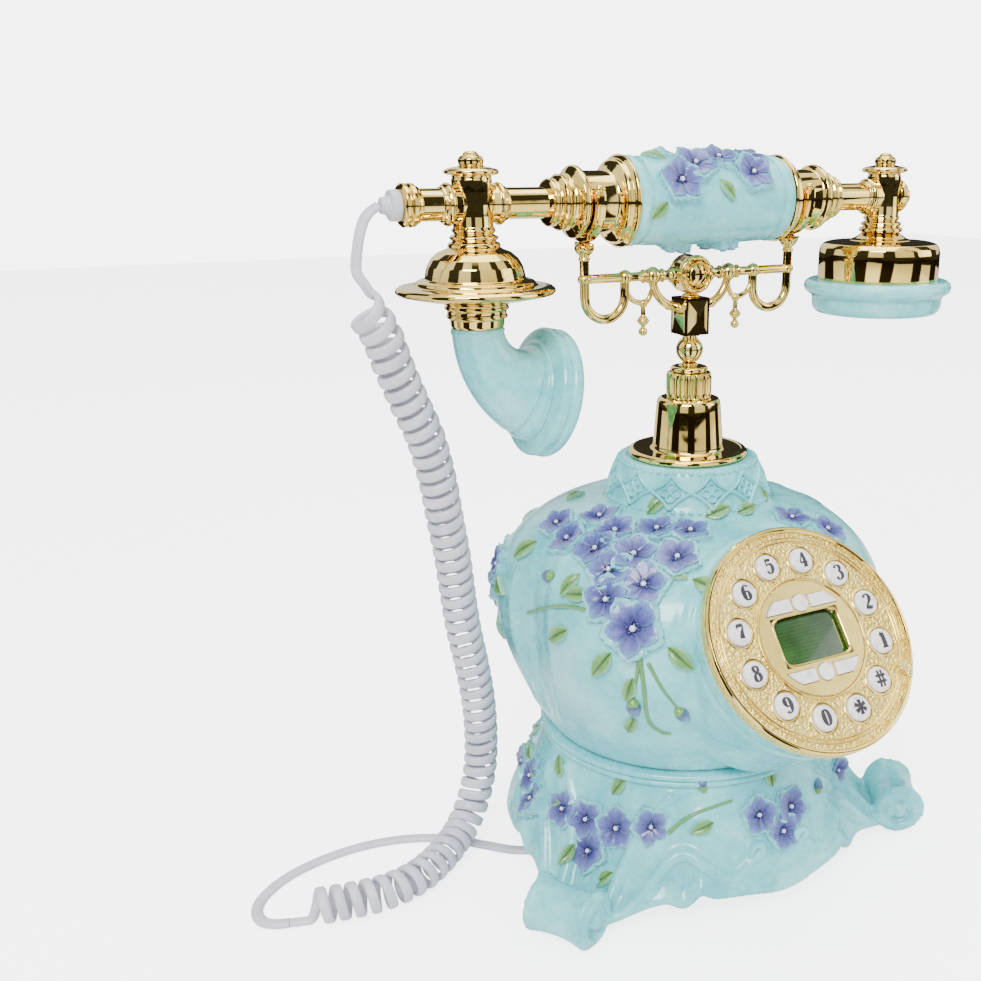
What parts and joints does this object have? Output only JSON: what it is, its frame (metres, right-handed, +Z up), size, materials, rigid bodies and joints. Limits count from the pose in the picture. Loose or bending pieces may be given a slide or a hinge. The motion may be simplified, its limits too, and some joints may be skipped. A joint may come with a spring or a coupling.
{
  "type": "antique-style push-button telephone",
  "caption": "Ornate cast telephone on scroll feet with a tilted round keypad, display, gilt pillar cradle, gilt handset with resin grip and a curly cord.",
  "frame": {"origin": "on the floor under the middle of the telephone without its cord", "axes": "+Z up, the dial faces -Y, the handset lies along X with its mouthpiece at -X"},
  "size_m": [0.306, 0.2151, 0.2818],
  "materials": {
    "resin_aqua": "satin lacquer over cast resin",
    "gold_plate": "polished pale gold plating",
    "dial_gold": "fine matte gold",
    "key_white": "pearl white",
    "lcd_glass": "clear window over a green display",
    "black_abs": "fine texture",
    "rubber": "matte",
    "steel": "zinc plated",
    "board_green": "solder mask",
    "cord_grey": "satin jacket",
    "plug_clear": "clear"
  },
  "bodies": {
    "base": {"belly_casting": "resin_aqua", "base_casting": "resin_aqua", "rubber_feet": "rubber", "bottom_plate": "black_abs", "bottom_screws": "steel", "ringer_cover": "black_abs", "ringer_speaker": "steel", "handsfree_speaker": "steel", "handset_jack": "black_abs", "line_jack": "black_abs", "main_board": "board_green", "dial_plate": "dial_gold", "dial_centre": "dial_gold", "lcd_window": "lcd_glass", "keypad_board": "board_green", "pillar_base": "gold_plate", "knurled_collar": "gold_plate", "hook_spring": "steel", "hook_switch": "black_abs", "curly_cord": "cord_grey", "cord_lead": "cord_grey", "cord_plug": "plug_clear"},
    "ringer_slide": {"ringer_slide": "black_abs"},
    "tone_slide": {"tone_slide": "black_abs"},
    "flash_slide": {"flash_slide": "black_abs"},
    "cradle": {"cradle_stem": "gold_plate", "cradle_bar": "gold_plate", "left_fork": "gold_plate", "right_fork": "gold_plate"},
    "handset": {"grip": "resin_aqua", "grip_ends": "gold_plate", "handset_tube": "gold_plate", "mouth_tee": "gold_plate", "mouth_flange": "gold_plate", "mouth_elbow": "resin_aqua", "mouth_cup": "resin_aqua", "microphone": "steel", "ear_tee": "gold_plate", "ear_bell": "gold_plate", "ear_ring": "resin_aqua", "receiver": "steel", "cord_grommet": "cord_grey"},
    "key_1": {"key_1": "key_white"},
    "key_2": {"key_2": "key_white"},
    "key_3": {"key_3": "key_white"},
    "key_4": {"key_4": "key_white"},
    "key_5": {"key_5": "key_white"},
    "key_6": {"key_6": "key_white"},
    "key_7": {"key_7": "key_white"},
    "key_8": {"key_8": "key_white"},
    "key_9": {"key_9": "key_white"},
    "key_0": {"key_0": "key_white"},
    "key_star": {"key_star": "key_white"},
    "key_hash": {"key_hash": "key_white"},
    "redial_key": {"redial_key": "key_white"},
    "set_key": {"set_key": "key_white"},
    "handsfree_key": {"handsfree_key": "key_white"},
    "up_key": {"up_key": "key_white"},
    "out_key": {"out_key": "key_white"},
    "down_key": {"down_key": "key_white"}
  },
  "joints": [
    {"name": "handset_lift", "type": "slide", "parent": "base", "child": "handset", "axis": [0, 0, 1], "range_m": [0, 0.12]},
    {"name": "hook_rise", "type": "slide", "parent": "base", "child": "cradle", "axis": [0, 0, 1], "range_m": [0, 0.003]},
    {"name": "ringer_switch", "type": "slide", "parent": "base", "child": "ringer_slide", "axis": [0, 1, 0], "range_m": [0, 0.005]},
    {"name": "tone_switch", "type": "slide", "parent": "base", "child": "tone_slide", "axis": [0, 1, 0], "range_m": [0, 0.002]},
    {"name": "flash_switch", "type": "slide", "parent": "base", "child": "flash_slide", "axis": [0, 1, 0], "range_m": [0, 0.002]},
    {"name": "key_1_press", "type": "slide", "parent": "base", "child": "key_1", "axis": [0, 0.7727, -0.6347], "range_m": [0, 0.0012], "stiffness_N_per_m": 400},
    {"name": "key_2_press", "type": "slide", "parent": "base", "child": "key_2", "axis": [0, 0.7727, -0.6347], "range_m": [0, 0.0012], "stiffness_N_per_m": 400},
    {"name": "key_3_press", "type": "slide", "parent": "base", "child": "key_3", "axis": [0, 0.7727, -0.6347], "range_m": [0, 0.0012], "stiffness_N_per_m": 400},
    {"name": "key_4_press", "type": "slide", "parent": "base", "child": "key_4", "axis": [0, 0.7727, -0.6347], "range_m": [0, 0.0012], "stiffness_N_per_m": 400},
    {"name": "key_5_press", "type": "slide", "parent": "base", "child": "key_5", "axis": [0, 0.7727, -0.6347], "range_m": [0, 0.0012], "stiffness_N_per_m": 400},
    {"name": "key_6_press", "type": "slide", "parent": "base", "child": "key_6", "axis": [0, 0.7727, -0.6347], "range_m": [0, 0.0012], "stiffness_N_per_m": 400},
    {"name": "key_7_press", "type": "slide", "parent": "base", "child": "key_7", "axis": [0, 0.7727, -0.6347], "range_m": [0, 0.0012], "stiffness_N_per_m": 400},
    {"name": "key_8_press", "type": "slide", "parent": "base", "child": "key_8", "axis": [0, 0.7727, -0.6347], "range_m": [0, 0.0012], "stiffness_N_per_m": 400},
    {"name": "key_9_press", "type": "slide", "parent": "base", "child": "key_9", "axis": [0, 0.7727, -0.6347], "range_m": [0, 0.0012], "stiffness_N_per_m": 400},
    {"name": "key_0_press", "type": "slide", "parent": "base", "child": "key_0", "axis": [0, 0.7727, -0.6347], "range_m": [0, 0.0012], "stiffness_N_per_m": 400},
    {"name": "key_star_press", "type": "slide", "parent": "base", "child": "key_star", "axis": [0, 0.7727, -0.6347], "range_m": [0, 0.0012], "stiffness_N_per_m": 400},
    {"name": "key_hash_press", "type": "slide", "parent": "base", "child": "key_hash", "axis": [0, 0.7727, -0.6347], "range_m": [0, 0.0012], "stiffness_N_per_m": 400},
    {"name": "redial_key_press", "type": "slide", "parent": "base", "child": "redial_key", "axis": [0, 0.7727, -0.6347], "range_m": [0, 0.0012], "stiffness_N_per_m": 400},
    {"name": "set_key_press", "type": "slide", "parent": "base", "child": "set_key", "axis": [0, 0.7727, -0.6347], "range_m": [0, 0.0012], "stiffness_N_per_m": 400},
    {"name": "handsfree_key_press", "type": "slide", "parent": "base", "child": "handsfree_key", "axis": [0, 0.7727, -0.6347], "range_m": [0, 0.0012], "stiffness_N_per_m": 400},
    {"name": "up_key_press", "type": "slide", "parent": "base", "child": "up_key", "axis": [0, 0.7727, -0.6347], "range_m": [0, 0.0012], "stiffness_N_per_m": 400},
    {"name": "out_key_press", "type": "slide", "parent": "base", "child": "out_key", "axis": [0, 0.7727, -0.6347], "range_m": [0, 0.0012], "stiffness_N_per_m": 400},
    {"name": "down_key_press", "type": "slide", "parent": "base", "child": "down_key", "axis": [0, 0.7727, -0.6347], "range_m": [0, 0.0012], "stiffness_N_per_m": 400}
  ],
  "couplings": [
    {"joint": "hook_rise", "follows": "handset_lift", "ratio": 0.025}
  ]
}
